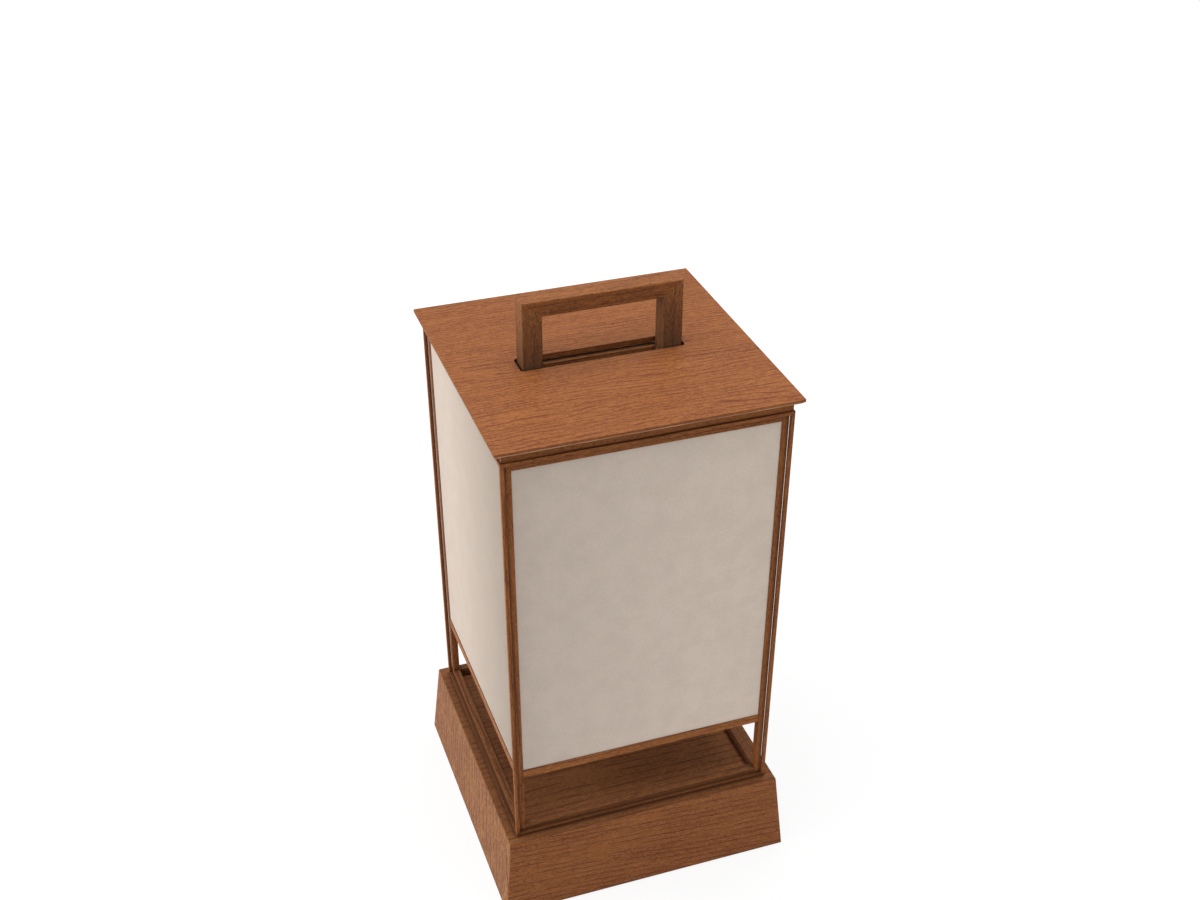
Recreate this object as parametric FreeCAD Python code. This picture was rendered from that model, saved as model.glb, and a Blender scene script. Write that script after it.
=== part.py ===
import FreeCAD, Part
import math
import os
from FreeCAD import Vector

# Andon floor lamp: a paper shade inside a slender outer cage, on a battered plinth, under a loose
# lid that drops over the carrying handle. Millimetres, +Z up, origin on the ground below the
# centre of the lamp. The front faces -Y and the right side faces +X.

# Widths: the plinth and the lid keep their borders round the cage
cage_side = 286.4
rim_width = 10.0
plinth_spread = 9.4
lid_overhang = 6.8

# Plinth: four battered boards, mitred to each other and to the top board
foot_lift = 1.5
plinth_height = 93.7
plinth_board = 10.0
plinth_top_thickness = 9.0
plinth_arris = 1.2

# Underside of the plinth: cover, corner blocks, screws and feet
cover_recess = 4.0
cover_thickness = 4.0
cover_gap = 0.3
block_side = 24.0
block_gap = 0.1
cover_screw_radius = 1.6
cover_screw_head_radius = 3.4
cover_screw_length = 18.0
foot_radius = 8.0
foot_arris = 0.8

# Outer cage of square sticks
cage_stick = 3.8
cage_chamfer = 0.2

# Shade: corner posts, three rails on each side and four paper panels
shade_gap = 0.05
shade_post = 7.3
shade_chamfer = 0.2
bottom_rail_height = 10.8
lower_opening = 67.9
middle_rail_height = 10.1
paper_height = 365.0
top_rail_height = 11.1
paper_thickness = 1.0
paper_recess = 0.9
paper_edge_in_groove = 2.4
groove_gap = 0.1
tenon_length = 2.2
tenon_thickness = 2.4
tenon_shoulder = 1.5
joint_gap = 0.03

# Top frame on the cage, and the rail across it that carries the handle
top_frame_inset = 1.4
top_frame_height = 9.9
top_frame_width = 11.0
handle_rail_width = 34.2
handle_rail_drop = 3.0
handle_vent_width = 18.0
housing_depth = 5.0

# Handle
handle_length = 163.0
handle_thickness = 21.2
handle_rise = 69.0
handle_leg_width = 20.5
grip_height = 16.5
handle_arris = 1.4
leg_tenon_shoulder = 4.0
leg_tenon_length = 3.0
handle_screw_radius = 2.0
handle_screw_head_radius = 3.9
handle_screw_length = 30.0
handle_screw_spacing = 9.0

# Lid
lid_thickness = 5.2
lid_lip = 2.7
lid_corner = 1.2
lid_top_arris = 0.6
slot_end_gap = 2.5
slot_side_gap = 2.7
slot_corner = 3.0
batten_width = 18.0
batten_height = 6.0
batten_gap = 0.4

# Lampholder, its threaded nipple and nut, and the bulb
holder_flange_radius = 24.0
holder_flange_height = 5.0
holder_radius = 17.5
holder_chamber_radius = 9.0
holder_chamber_height = 9.0
holder_web = 3.0
nipple_radius = 5.0
nipple_bore_radius = 3.9
nipple_reach = 9.0
nut_flats_radius = 7.5
nut_height = 4.0
bulb_cap_radius = 13.0
bulb_cap_height = 24.0
bulb_contact_radius = 4.5
bulb_contact_height = 2.2
bulb_running_gap = 0.3
bulb_cap_show = 1.5
bulb_radius = 30.0
bulb_wall = 1.2
bulb_shoulder_angle = 38.0

# Mains inlet and rocker switch in the back board, on its sloping face
inlet_offset = 34.0
switch_offset = 34.0
fitting_height = 46.0
fitting_gap = 0.2
inlet_flange_width = 29.0
inlet_flange_height = 17.0
inlet_flange_thickness = 2.0
inlet_body_width = 23.0
inlet_body_height = 12.0
inlet_body_depth = 22.0
socket_width = 17.0
socket_height = 8.4
socket_depth = 13.0
pin_radius = 1.2
pin_length = 9.0
pin_spacing = 8.6
tab_width = 4.0
tab_thickness = 0.8
tab_length = 6.0
tab_spacing = 8.0
switch_flange_width = 15.0
switch_flange_height = 21.0
switch_flange_thickness = 1.6
switch_body_width = 12.6
switch_body_height = 18.6
switch_body_depth = 18.0
rocker_width = 9.6
rocker_radius = 7.6
rocker_half_depth = 3.2
rocker_valley = 1.5
rocker_gap = 0.3
rocker_pivot_depth = 1.2
rocker_rest_angle = 8.0
rocker_end_angle = 65.0

# Leads between the inlet, the switch and the lampholder
lead_radius = 1.1
lead_spacing = 3.2
lead_first_run = 22.0
lead_level_drop = 30.0
lead_bend_share = 0.45

# How far cutting tools run past the faces they cut
overrun = 2.0

# Levels, from the ground up
plinth_foot_z = foot_lift
floor_z = foot_lift + plinth_height
bottom_rail_top_z = floor_z + bottom_rail_height
middle_rail_z = bottom_rail_top_z + lower_opening
paper_bottom_z = middle_rail_z + middle_rail_height
paper_top_z = paper_bottom_z + paper_height
cage_top_z = paper_top_z + top_rail_height
lid_bottom_z = cage_top_z + top_frame_height
lid_top_z = lid_bottom_z + lid_thickness
handle_top_z = lid_top_z + handle_rise
handle_rail_top_z = lid_bottom_z - handle_rail_drop
top_board_bottom_z = floor_z - plinth_top_thickness

# Widths, half widths and slopes
plinth_top_side = cage_side + rim_width * 2
plinth_foot_side = plinth_top_side + plinth_spread * 2
lid_side = cage_side + lid_overhang * 2
cage_half = cage_side / 2
cage_inner = cage_half - cage_stick
shade_half = cage_inner - shade_gap
shade_inner = shade_half - shade_post
top_frame_half = cage_half - top_frame_inset
top_frame_inner = top_frame_half - top_frame_width
batter = math.atan2(plinth_spread, plinth_height)
plinth_board_level = plinth_board / math.cos(batter)
slot_half_length = handle_length / 2 + slot_end_gap
slot_half_width = handle_thickness / 2 + slot_side_gap

# A quarter turn takes the front to the right side, and the front left corner to the front right
side_names = ("front", "right", "back", "left")
corner_names = ("front_left", "front_right", "back_right", "back_left")
quarter = 360 / len(side_names)
sides = {name: quarter * place for place, name in enumerate(side_names)}
corners = {name: quarter * place for place, name in enumerate(corner_names)}
up = Vector(0, 0, 1)
across = Vector(1, 0, 0)
centre = Vector(0, 0, 0)


def block(x0, x1, y0, y1, z0, z1):
    """A box between two corners."""
    return Part.makeBox(x1 - x0, y1 - y0, z1 - z0, Vector(x0, y0, z0))


def round_bar(radius, start, run):
    """A cylinder from a start point along a run vector."""
    return Part.makeCylinder(radius, run.Length, start, run)


def turned(shape, angle):
    """A copy turned about the lamp's upright axis."""
    copy = shape.copy()
    copy.rotate(centre, up, angle)
    return copy


def square_frustum(low_side, high_side, low_z, high_z):
    """A solid with level square ends and flat sides, centred on the lamp's axis."""
    rings = []
    for side, z in ((low_side, low_z), (high_side, high_z)):
        half = side / 2
        places = [(-half, -half), (half, -half), (half, half), (-half, half)]
        rings.append([Vector(x, y, z) for x, y in places])
    low, high = rings
    outlines = [low[::-1], high]
    for first, second in zip(range(-1, 3), range(4)):
        outlines.append([low[first], low[second], high[second], high[first]])
    faces = [Part.Face(Part.makePolygon(outline + outline[:1])) for outline in outlines]
    return Part.Solid(Part.makeShell(faces))


def long_edges(shape, direction):
    """The straight edges that run along a direction."""
    found = []
    for edge in shape.Edges:
        run = edge.Vertexes[-1].Point - edge.Vertexes[0].Point
        if run.Length > 0 and abs(run.normalize().dot(direction)) > math.cos(math.radians(1)):
            found.append(edge)
    return found


def stick(x0, x1, y0, y1, z0, z1, direction, chamfer):
    """A square stick with its long arrises taken off."""
    bar = block(x0, x1, y0, y1, z0, z1)
    return bar.makeChamfer(chamfer, long_edges(bar, direction))


def front_sector(z0, z1):
    """The upright prism of everything nearer to the front than to the other three sides."""
    reach = plinth_foot_side
    ring = [Vector(0, 0, z0), Vector(-reach, -reach, z0), Vector(reach, -reach, z0), Vector(0, 0, z0)]
    return Part.Face(Part.makePolygon(ring)).extrude(Vector(0, 0, z1 - z0))


def plinth_side_at(z):
    """Outside width of the plinth at a height."""
    return plinth_top_side + (floor_z - z) * math.tan(batter) * 2


def plinth_envelope():
    """The whole outside of the plinth, with its arrises eased."""
    solid = square_frustum(plinth_foot_side, plinth_top_side, plinth_foot_z, floor_z)
    eased = [edge for edge in solid.Edges if max(v.Z for v in edge.Vertexes) > plinth_foot_z + overrun]
    return solid.makeFillet(plinth_arris, eased)


def plinth_hollow(gap):
    """The space inside the four battered boards, less a gap all round."""
    low_z = plinth_foot_z - overrun
    low_side = plinth_side_at(low_z) - (plinth_board_level + gap) * 2
    high_side = plinth_side_at(floor_z) - (plinth_board_level + gap) * 2
    return square_frustum(low_side, high_side, low_z, floor_z)


def top_board_region():
    """The top board with mitred edges that fall inwards from the arris."""
    low_side = plinth_top_side - plinth_top_thickness * 2
    return square_frustum(low_side, plinth_top_side, top_board_bottom_z, floor_z)


def make_plinth():
    """Four boards and the top board; the back board has the holes for its two fittings."""
    envelope = plinth_envelope()
    walls = envelope.cut(plinth_hollow(0)).cut(top_board_region())
    sector = front_sector(plinth_foot_z - overrun, floor_z + overrun)
    pieces = {}
    for side, angle in sides.items():
        pieces["plinth_board_" + side] = walls.common(turned(sector, angle))
    for hole in (inlet_hole(), switch_hole()):
        pieces["plinth_board_back"] = pieces["plinth_board_back"].cut(hole)
    nipple_hole = round_bar(nipple_radius + fitting_gap, Vector(0, 0, top_board_bottom_z - overrun),
                            Vector(0, 0, plinth_top_thickness + overrun * 2))
    pieces["plinth_top_board"] = envelope.common(top_board_region()).cut(nipple_hole)
    return pieces


def cover_screw_places():
    """Where the cover is screwed to the corner blocks, near the plinth's corners."""
    block_corner = plinth_top_side / 2 - plinth_board_level
    place = block_corner - block_side / 2
    return [Vector(sx * place, sy * place, plinth_foot_z + cover_recess) for sx in (-1, 1) for sy in (-1, 1)]


def cover_screw(place):
    """One countersunk screw, pointing up, with its head flush with the cover."""
    head_height = cover_screw_head_radius - cover_screw_radius
    head = Part.makeCone(cover_screw_head_radius, cover_screw_radius, head_height, place, up)
    shank = round_bar(cover_screw_radius, place, Vector(0, 0, cover_screw_length))
    return head.fuse(shank).removeSplitter()


def cover_screw_bore(place):
    """The hole that one cover screw goes through."""
    wide = cover_screw_radius + joint_gap
    head_wide = cover_screw_head_radius + joint_gap
    below = place - Vector(0, 0, overrun)
    bore = round_bar(wide, below, Vector(0, 0, cover_screw_length + joint_gap + overrun))
    sink = Part.makeCone(head_wide, wide, head_wide - wide, place, up)
    mouth = round_bar(head_wide, below, Vector(0, 0, overrun))
    return bore.fuse(sink).fuse(mouth)


def corner_block(place, room, z):
    """A glue block that fills one corner of the plinth above the cover."""
    reach = plinth_foot_side
    near_x = place.x - math.copysign(block_side / 2, place.x)
    near_y = place.y - math.copysign(block_side / 2, place.y)
    far_x = math.copysign(reach, place.x)
    far_y = math.copysign(reach, place.y)
    rough = block(min(near_x, far_x), max(near_x, far_x), min(near_y, far_y), max(near_y, far_y),
                  z, top_board_bottom_z)
    return rough.common(room).cut(cover_screw_bore(place))


def rubber_foot(place, top_z):
    """A round foot under the cover, inwards of a cover screw."""
    inward = foot_radius + cover_screw_head_radius + cover_gap
    x = place.x - math.copysign(inward, place.x)
    y = place.y - math.copysign(inward, place.y)
    foot = round_bar(foot_radius, Vector(x, y, 0), Vector(0, 0, top_z))
    low_rim = [edge for edge in foot.Edges if edge.BoundBox.ZMax < foot_arris]
    return foot.makeFillet(foot_arris, low_rim)


def make_underside():
    """Corner blocks, the cover that closes the plinth, its screws and the rubber feet."""
    cover_z = plinth_foot_z + cover_recess
    cover_top_z = cover_z + cover_thickness
    room = plinth_hollow(block_gap)
    places = cover_screw_places()
    cover_half = plinth_side_at(cover_top_z) / 2 - plinth_board_level - cover_gap
    cover = block(-cover_half, cover_half, -cover_half, cover_half, cover_z, cover_top_z)
    for place in places:
        cover = cover.cut(cover_screw_bore(place))
    return {
        "corner_blocks": Part.makeCompound([corner_block(place, room, cover_top_z) for place in places]),
        "base_cover": cover,
        "base_cover_screws": Part.makeCompound([cover_screw(place) for place in places]),
        "rubber_feet": Part.makeCompound([rubber_foot(place, cover_z) for place in places]),
    }


def make_cage():
    """Four corner posts, with a top rail and a bottom rail between each pair."""
    half = cage_half
    inner = cage_inner
    post = stick(-half, -inner, -half, -inner, floor_z, cage_top_z, up, cage_chamfer)
    bottom = stick(-inner, inner, -half, -inner, floor_z, floor_z + cage_stick, across, cage_chamfer)
    top = stick(-inner, inner, -half, -inner, cage_top_z - cage_stick, cage_top_z, across, cage_chamfer)
    pieces = {}
    for corner, angle in corners.items():
        pieces["cage_post_" + corner] = turned(post, angle)
    for side, angle in sides.items():
        pieces["cage_bottom_rail_" + side] = turned(bottom, angle)
        pieces["cage_top_rail_" + side] = turned(top, angle)
    return pieces


def front_panel(gap):
    """The front paper panel with its edges in the grooves, grown by a gap."""
    face = -shade_half + paper_recess
    reach = shade_inner + paper_edge_in_groove + gap
    low_z = paper_bottom_z - paper_edge_in_groove - gap
    high_z = paper_top_z + paper_edge_in_groove + gap
    return block(-reach, reach, face - gap, face + paper_thickness + gap, low_z, high_z)


def front_rail(low_z, height, gap, whole):
    """A shade rail on the front side: the whole rail, or only its two tenons grown by a gap."""
    thick = tenon_thickness / 2 + gap
    middle = -shade_half + shade_post / 2
    reach = shade_inner + tenon_length + gap
    tenon = block(-reach, reach, middle - thick, middle + thick,
                  low_z + tenon_shoulder - gap, low_z + height - tenon_shoulder + gap)
    if not whole:
        return tenon
    bar = stick(-shade_inner, shade_inner, -shade_half, -shade_half + shade_post, low_z, low_z + height,
                across, shade_chamfer)
    return bar.fuse(tenon).removeSplitter()


def make_shade():
    """Four corner posts, three rails on each side, and the paper panels in their grooves."""
    rails = {
        "shade_bottom_rail_": (floor_z, bottom_rail_height),
        "shade_middle_rail_": (middle_rail_z, middle_rail_height),
        "shade_top_rail_": (paper_top_z, top_rail_height),
    }
    cutters = [front_panel(groove_gap)]
    for low_z, height in rails.values():
        cutters.append(front_rail(low_z, height, joint_gap, False))
    post = stick(-shade_half, -shade_inner, -shade_half, -shade_inner, floor_z, cage_top_z, up, shade_chamfer)
    for cutter in cutters:
        post = post.cut(cutter).cut(turned(cutter, sides["left"]))
    pieces = {}
    for corner, angle in corners.items():
        pieces["shade_post_" + corner] = turned(post, angle)
    for name, (low_z, height) in rails.items():
        rail = front_rail(low_z, height, 0, True).cut(front_panel(groove_gap))
        for side, angle in sides.items():
            pieces[name + side] = turned(rail, angle)
    for side, angle in sides.items():
        pieces["paper_panel_" + side] = turned(front_panel(0), angle)
    return pieces


def handle_rail_bar(gap):
    """The rail across the top frame, with its ends in the side members, grown by a gap."""
    reach = top_frame_inner + housing_depth + gap
    half = handle_rail_width / 2 + gap
    return block(-reach, reach, -half, half, cage_top_z, handle_rail_top_z + gap)


def handle_rail_vent():
    """The opening along the rail between the two legs, which lets warm air out through the lid's slot."""
    half = handle_length / 2 - handle_leg_width
    wide = handle_vent_width / 2
    return block(-half, half, -wide, wide, cage_top_z - overrun, handle_rail_top_z + overrun)


def handle_bar(side):
    """The bar that the grip or one leg is cut from, with its long arrises eased."""
    half = handle_length / 2
    thick = handle_thickness / 2
    if side == "grip":
        bar = block(-half, half, -thick, thick, handle_top_z - grip_height, handle_top_z)
        return bar.makeFillet(handle_arris, long_edges(bar, across))
    bar = block(half - handle_leg_width, half, -thick, thick, handle_rail_top_z, handle_top_z)
    bar = bar.makeFillet(handle_arris, long_edges(bar, up))
    return turned(bar, 180) if side == "left" else bar


def grip_region():
    """The space of the grip: its ends are mitred to the legs."""
    half = handle_length / 2
    inner = half - handle_leg_width
    slope = handle_leg_width / grip_height
    rise = overrun
    ring = [
        (-inner, handle_top_z - grip_height),
        (-half - rise * slope, handle_top_z + rise),
        (half + rise * slope, handle_top_z + rise),
        (inner, handle_top_z - grip_height),
    ]
    points = [Vector(x, -handle_thickness, z) for x, z in ring + ring[:1]]
    return Part.Face(Part.makePolygon(points)).extrude(Vector(0, handle_thickness * 2, 0))


def leg_tenon(side, gap):
    """The tenon under one handle leg, grown by a gap."""
    middle = side * (handle_length - handle_leg_width) / 2
    half_x = handle_leg_width / 2 - leg_tenon_shoulder + gap
    half_y = handle_thickness / 2 - leg_tenon_shoulder + gap
    return block(middle - half_x, middle + half_x, -half_y, half_y,
                 handle_rail_top_z - leg_tenon_length - gap, handle_rail_top_z)


def handle_screw_places():
    """Two screws under each leg, from the underside of the rail."""
    middle = (handle_length - handle_leg_width) / 2
    half = handle_screw_spacing / 2
    return [Vector(sx * middle, sy * half, cage_top_z) for sx in (-1, 1) for sy in (-1, 1)]


def handle_screw(place, gap):
    """One countersunk screw up into a leg, grown by a gap."""
    radius = handle_screw_radius + gap
    head_radius = handle_screw_head_radius + gap
    head = Part.makeCone(head_radius, radius, head_radius - radius, place, up)
    shank = round_bar(radius, place, Vector(0, 0, handle_screw_length + gap))
    return head.fuse(shank).removeSplitter()


def make_top_frame():
    """The mitred frame on the cage, the rail across it, and the handle that stands on the rail."""
    outside = block(-top_frame_half, top_frame_half, -top_frame_half, top_frame_half, cage_top_z, lid_bottom_z)
    inside = block(-top_frame_inner, top_frame_inner, -top_frame_inner, top_frame_inner,
                   cage_top_z - overrun, lid_bottom_z + overrun)
    ring = outside.cut(inside).cut(handle_rail_bar(joint_gap))
    sector = front_sector(cage_top_z - overrun, lid_bottom_z + overrun)
    pieces = {}
    for side, angle in sides.items():
        pieces["top_frame_" + side] = ring.common(turned(sector, angle))
    rail = handle_rail_bar(0).cut(handle_rail_vent())
    for side, sign in (("left", -1), ("right", 1)):
        leg = handle_bar(side).cut(grip_region()).fuse(leg_tenon(sign, 0)).removeSplitter()
        rail = rail.cut(leg_tenon(sign, joint_gap))
        for place in handle_screw_places():
            leg = leg.cut(handle_screw(place, joint_gap))
        pieces["handle_leg_" + side] = leg
    for place in handle_screw_places():
        rail = rail.cut(handle_screw(place, joint_gap))
    pieces["handle_rail"] = rail
    pieces["handle_grip"] = handle_bar("grip").common(grip_region())
    pieces["handle_screws"] = Part.makeCompound([handle_screw(place, 0) for place in handle_screw_places()])
    return pieces


def make_lid():
    """The thin lid with its slot for the handle, and the four battens that centre it."""
    half = lid_side / 2
    undercut = lid_thickness - lid_lip
    lip = block(-half, half, -half, half, lid_bottom_z + undercut, lid_top_z)
    under = square_frustum(lid_side - undercut * 2, lid_side, lid_bottom_z, lid_bottom_z + undercut)
    board = lip.fuse(under).removeSplitter()
    upright = [edge for edge in board.Edges if edge.BoundBox.ZLength > lid_thickness / 4]
    board = board.makeFillet(lid_corner, upright)
    top_rim = [edge for edge in board.Edges if edge.BoundBox.ZMin > lid_top_z - lid_top_arris]
    board = board.makeFillet(lid_top_arris, top_rim)
    slot = block(-slot_half_length, slot_half_length, -slot_half_width, slot_half_width,
                 lid_bottom_z - overrun, lid_top_z + overrun)
    slot = slot.makeFillet(slot_corner, long_edges(slot, up))
    near_rail = handle_rail_width / 2 + batten_gap
    outer = top_frame_inner - batten_gap
    batten = block(outer - batten_width, outer, near_rail, outer, lid_bottom_z - batten_height, lid_bottom_z)
    battens = []
    for x_sign in (False, True):
        for y_sign in (False, True):
            copy = batten.copy()
            if x_sign:
                copy = copy.mirror(centre, across)
            if y_sign:
                copy = copy.mirror(centre, Vector(0, 1, 0))
            battens.append(copy)
    return {"lid_board": board.cut(slot), "lid_battens": Part.makeCompound(battens)}


def holder_levels():
    """Heights inside the lampholder: chamber floor, web underside, socket floor and rim."""
    chamber_z = floor_z + nipple_reach
    web_z = chamber_z + holder_chamber_height
    socket_z = web_z + holder_web
    rim_z = socket_z + bulb_contact_height + bulb_cap_height - bulb_cap_show
    return chamber_z, web_z, socket_z, rim_z


def make_lampholder():
    """The lampholder, and the threaded nipple and nut that clamp it to the top board."""
    chamber_z, web_z, socket_z, rim_z = holder_levels()
    flange = round_bar(holder_flange_radius, Vector(0, 0, floor_z), Vector(0, 0, holder_flange_height))
    body = round_bar(holder_radius, Vector(0, 0, floor_z), Vector(0, 0, rim_z - floor_z))
    seat = round_bar(nipple_radius + joint_gap, Vector(0, 0, floor_z - overrun), Vector(0, 0, nipple_reach + overrun))
    chamber = round_bar(holder_chamber_radius, Vector(0, 0, chamber_z), Vector(0, 0, holder_chamber_height))
    socket = round_bar(bulb_cap_radius + bulb_running_gap, Vector(0, 0, socket_z),
                       Vector(0, 0, rim_z - socket_z + overrun))
    holder = flange.fuse(body).cut(seat).cut(chamber).cut(socket)
    nut_z = top_board_bottom_z - nut_height
    nipple_run = Vector(0, 0, floor_z + nipple_reach - nut_z + overrun)
    nipple_start = Vector(0, 0, nut_z - overrun)
    nipple = round_bar(nipple_radius, nipple_start, nipple_run)
    nipple = nipple.cut(round_bar(nipple_bore_radius, nipple_start, nipple_run))
    nut_ring = []
    for corner in range(7):
        angle = math.radians(60 * corner)
        reach = nut_flats_radius / math.cos(math.radians(30))
        nut_ring.append(Vector(reach * math.cos(angle), reach * math.sin(angle), nut_z))
    nut = Part.Face(Part.makePolygon(nut_ring)).extrude(Vector(0, 0, nut_height))
    nut = nut.cut(round_bar(nipple_radius + joint_gap, nipple_start, nipple_run))
    return {"lampholder": holder.removeSplitter(), "lampholder_fixing": Part.makeCompound([nipple, nut])}


def glass_profile(radius, neck, shoulder, z):
    """Points of one side of the bulb's wall: neck, shoulder, side of the globe and its top."""
    slant = (radius * math.cos(shoulder) - neck) / math.sin(shoulder)
    middle_z = z + radius * math.sin(shoulder) + slant * math.cos(shoulder)
    turn = (math.pi / 2 - shoulder) / 2
    touch = Vector(radius * math.cos(shoulder), 0, middle_z - radius * math.sin(shoulder))
    side = Vector(radius * math.cos(turn), 0, middle_z + radius * math.sin(turn))
    top = Vector(0, 0, middle_z + radius)
    return Vector(neck, 0, z), touch, side, top


def make_bulb():
    """A screw-in bulb: metal cap with its contact, and a hollow frosted globe."""
    socket_z = holder_levels()[2]
    cap_z = socket_z + bulb_contact_height
    glass_z = cap_z + bulb_cap_height
    contact = round_bar(bulb_contact_radius, Vector(0, 0, socket_z), Vector(0, 0, bulb_contact_height))
    cap = round_bar(bulb_cap_radius, Vector(0, 0, cap_z), Vector(0, 0, bulb_cap_height))
    shoulder = math.radians(bulb_shoulder_angle)
    outer = glass_profile(bulb_radius, bulb_cap_radius, shoulder, glass_z)
    inner = glass_profile(bulb_radius - bulb_wall, bulb_cap_radius - bulb_wall / math.cos(shoulder), shoulder, glass_z)
    drop = Vector(0, 0, outer[3].z - bulb_wall - inner[3].z)
    touch, side, top = [point + drop for point in inner[1:]]
    edges = [
        Part.makeLine(outer[0], outer[1]),
        Part.Arc(outer[1], outer[2], outer[3]).toShape(),
        Part.makeLine(outer[3], top),
        Part.Arc(top, side, touch).toShape(),
        Part.makeLine(touch, inner[0]),
        Part.makeLine(inner[0], outer[0]),
    ]
    wall = Part.Face(Part.Wire(edges))
    globe = wall.revolve(centre, up, 360)
    return {"bulb_cap": cap.fuse(contact).removeSplitter(), "bulb_globe": globe}


def on_back(point, x):
    """Where a point of a fitting lies; it is given from the sloping face of the back board, outwards along Y."""
    y_face = plinth_side_at(fitting_height) / 2
    turned_point = FreeCAD.Rotation(across, math.degrees(batter)).multVec(point)
    return turned_point + Vector(x, y_face, fitting_height)


def set_on_back(shape, x):
    """A fitting's shape, moved from its own axes to its place in the back board."""
    copy = shape.copy()
    copy.rotate(centre, across, math.degrees(batter))
    copy.translate(Vector(x, plinth_side_at(fitting_height) / 2, fitting_height))
    return copy


def fitting_hole(width, height, depth, x):
    """A rectangular hole in the back board."""
    half_x = width / 2 + fitting_gap
    half_z = height / 2 + fitting_gap
    return set_on_back(block(-half_x, half_x, -depth, overrun, -half_z, half_z), x)


def inlet_hole():
    """The hole for the mains inlet."""
    return fitting_hole(inlet_body_width, inlet_body_height, inlet_body_depth, -inlet_offset)


def switch_hole():
    """The hole for the rocker switch."""
    return fitting_hole(switch_body_width, switch_body_height, switch_body_depth, switch_offset)


def rounded_slab(width, height, y0, y1, corner):
    """A slab facing outwards, with rounded corners."""
    slab = block(-width / 2, width / 2, y0, y1, -height / 2, height / 2)
    return slab.makeFillet(corner, long_edges(slab, Vector(0, 1, 0)))


def tab_pair(depth, vertical):
    """Two terminal tabs behind a fitting, side by side or one above the other."""
    tabs = []
    for sign in (-1, 1):
        x = 0 if vertical else sign * tab_spacing / 2
        z = sign * tab_spacing / 2 if vertical else 0
        tabs.append(block(x - tab_width / 2, x + tab_width / 2, -depth - tab_length, -depth + joint_gap,
                          z - tab_thickness / 2, z + tab_thickness / 2))
    return tabs


def make_inlet():
    """A two-pin mains inlet: flange, body, socket with two pins, and terminal tabs."""
    flange = rounded_slab(inlet_flange_width, inlet_flange_height, 0, inlet_flange_thickness, inlet_flange_height / 8)
    body = rounded_slab(inlet_body_width, inlet_body_height, -inlet_body_depth, 0, inlet_body_height / 12)
    socket = rounded_slab(socket_width, socket_height, inlet_flange_thickness - socket_depth,
                          inlet_flange_thickness + overrun, socket_height / 3)
    inlet = flange.fuse(body).cut(socket)
    for sign in (-1, 1):
        start = Vector(sign * pin_spacing / 2, inlet_flange_thickness - socket_depth - joint_gap, 0)
        inlet = inlet.fuse(round_bar(pin_radius, start, Vector(0, pin_length + joint_gap, 0)))
    for tab in tab_pair(inlet_body_depth, False):
        inlet = inlet.fuse(tab)
    return set_on_back(inlet.removeSplitter(), -inlet_offset)


def rocker_profile(radius, valley):
    """The rocker seen from its end: two arcs about its pivot, a flat back and a shallow valley in front."""
    end = math.radians(rocker_end_angle)
    far = Vector(0, radius * math.cos(end), radius * math.sin(end))
    crown = Vector(0, 0, radius)
    near = Vector(0, -rocker_half_depth, math.sqrt(radius ** 2 - rocker_half_depth ** 2))
    low = [Vector(0, point.y, -point.z) for point in (far, crown, near)]
    edges = [
        Part.Arc(far, crown, near).toShape(),
        Part.makeLine(near, low[2]),
        Part.Arc(low[2], low[1], low[0]).toShape(),
        Part.makeLine(low[0], Vector(0, valley, 0)),
        Part.makeLine(Vector(0, valley, 0), far),
    ]
    return Part.Face(Part.Wire(edges))


def make_switch():
    """The switch housing with its pocket, and the rocker that tips in it."""
    flange = rounded_slab(switch_flange_width, switch_flange_height, 0, switch_flange_thickness,
                          switch_flange_thickness)
    body = rounded_slab(switch_body_width, switch_body_height, -switch_body_depth, 0, switch_flange_thickness / 2)
    pocket_x = rocker_width / 2 + rocker_gap
    pocket_z = rocker_radius + rocker_gap
    pocket_y = -rocker_pivot_depth - rocker_radius
    pocket = block(-pocket_x, pocket_x, pocket_y, switch_flange_thickness + overrun, -pocket_z, pocket_z)
    housing = flange.fuse(body).cut(pocket)
    for tab in tab_pair(switch_body_depth, True):
        housing = housing.fuse(tab)
    rocker = rocker_profile(rocker_radius, rocker_valley).extrude(Vector(rocker_width, 0, 0))
    rocker.translate(Vector(-rocker_width / 2, 0, 0))
    rocker.rotate(centre, across, rocker_rest_angle)
    rocker.translate(Vector(0, -rocker_pivot_depth, 0))
    pivot = on_back(Vector(0, -rocker_pivot_depth, 0), switch_offset)
    print("rocker pivot", [round(value, 3) for value in pivot])
    return {
        "switch_housing": set_on_back(housing.removeSplitter(), switch_offset),
        "switch_rocker": set_on_back(rocker, switch_offset),
    }


def lead(name, points):
    """A round lead along straight runs joined by tangent arcs."""
    edges = []
    start = points[0]
    for before, corner, after in zip(points, points[1:], points[2:]):
        into = corner - before
        out = after - corner
        turn = into.getAngle(out)
        tangent = lead_bend_share * min(into.Length, out.Length)
        radius = tangent / math.tan(turn / 2)
        into.normalize()
        out.normalize()
        first = corner - into * tangent
        last = corner + out * tangent
        bisector = (out - into).normalize()
        middle = corner + bisector * (radius / math.cos(turn / 2) - radius)
        edges.append(Part.makeLine(start, first))
        edges.append(Part.Arc(first, middle, last).toShape())
        start = last
        print(name, "bend radius", round(radius, 2))
    edges.append(Part.makeLine(start, points[-1]))
    route = Part.Wire(edges)
    section = Part.Wire(Part.makeCircle(lead_radius, points[0], points[1] - points[0]))
    print(name, "length", round(route.Length, 1))
    return route.makePipeShell([section], True, False)


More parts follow.
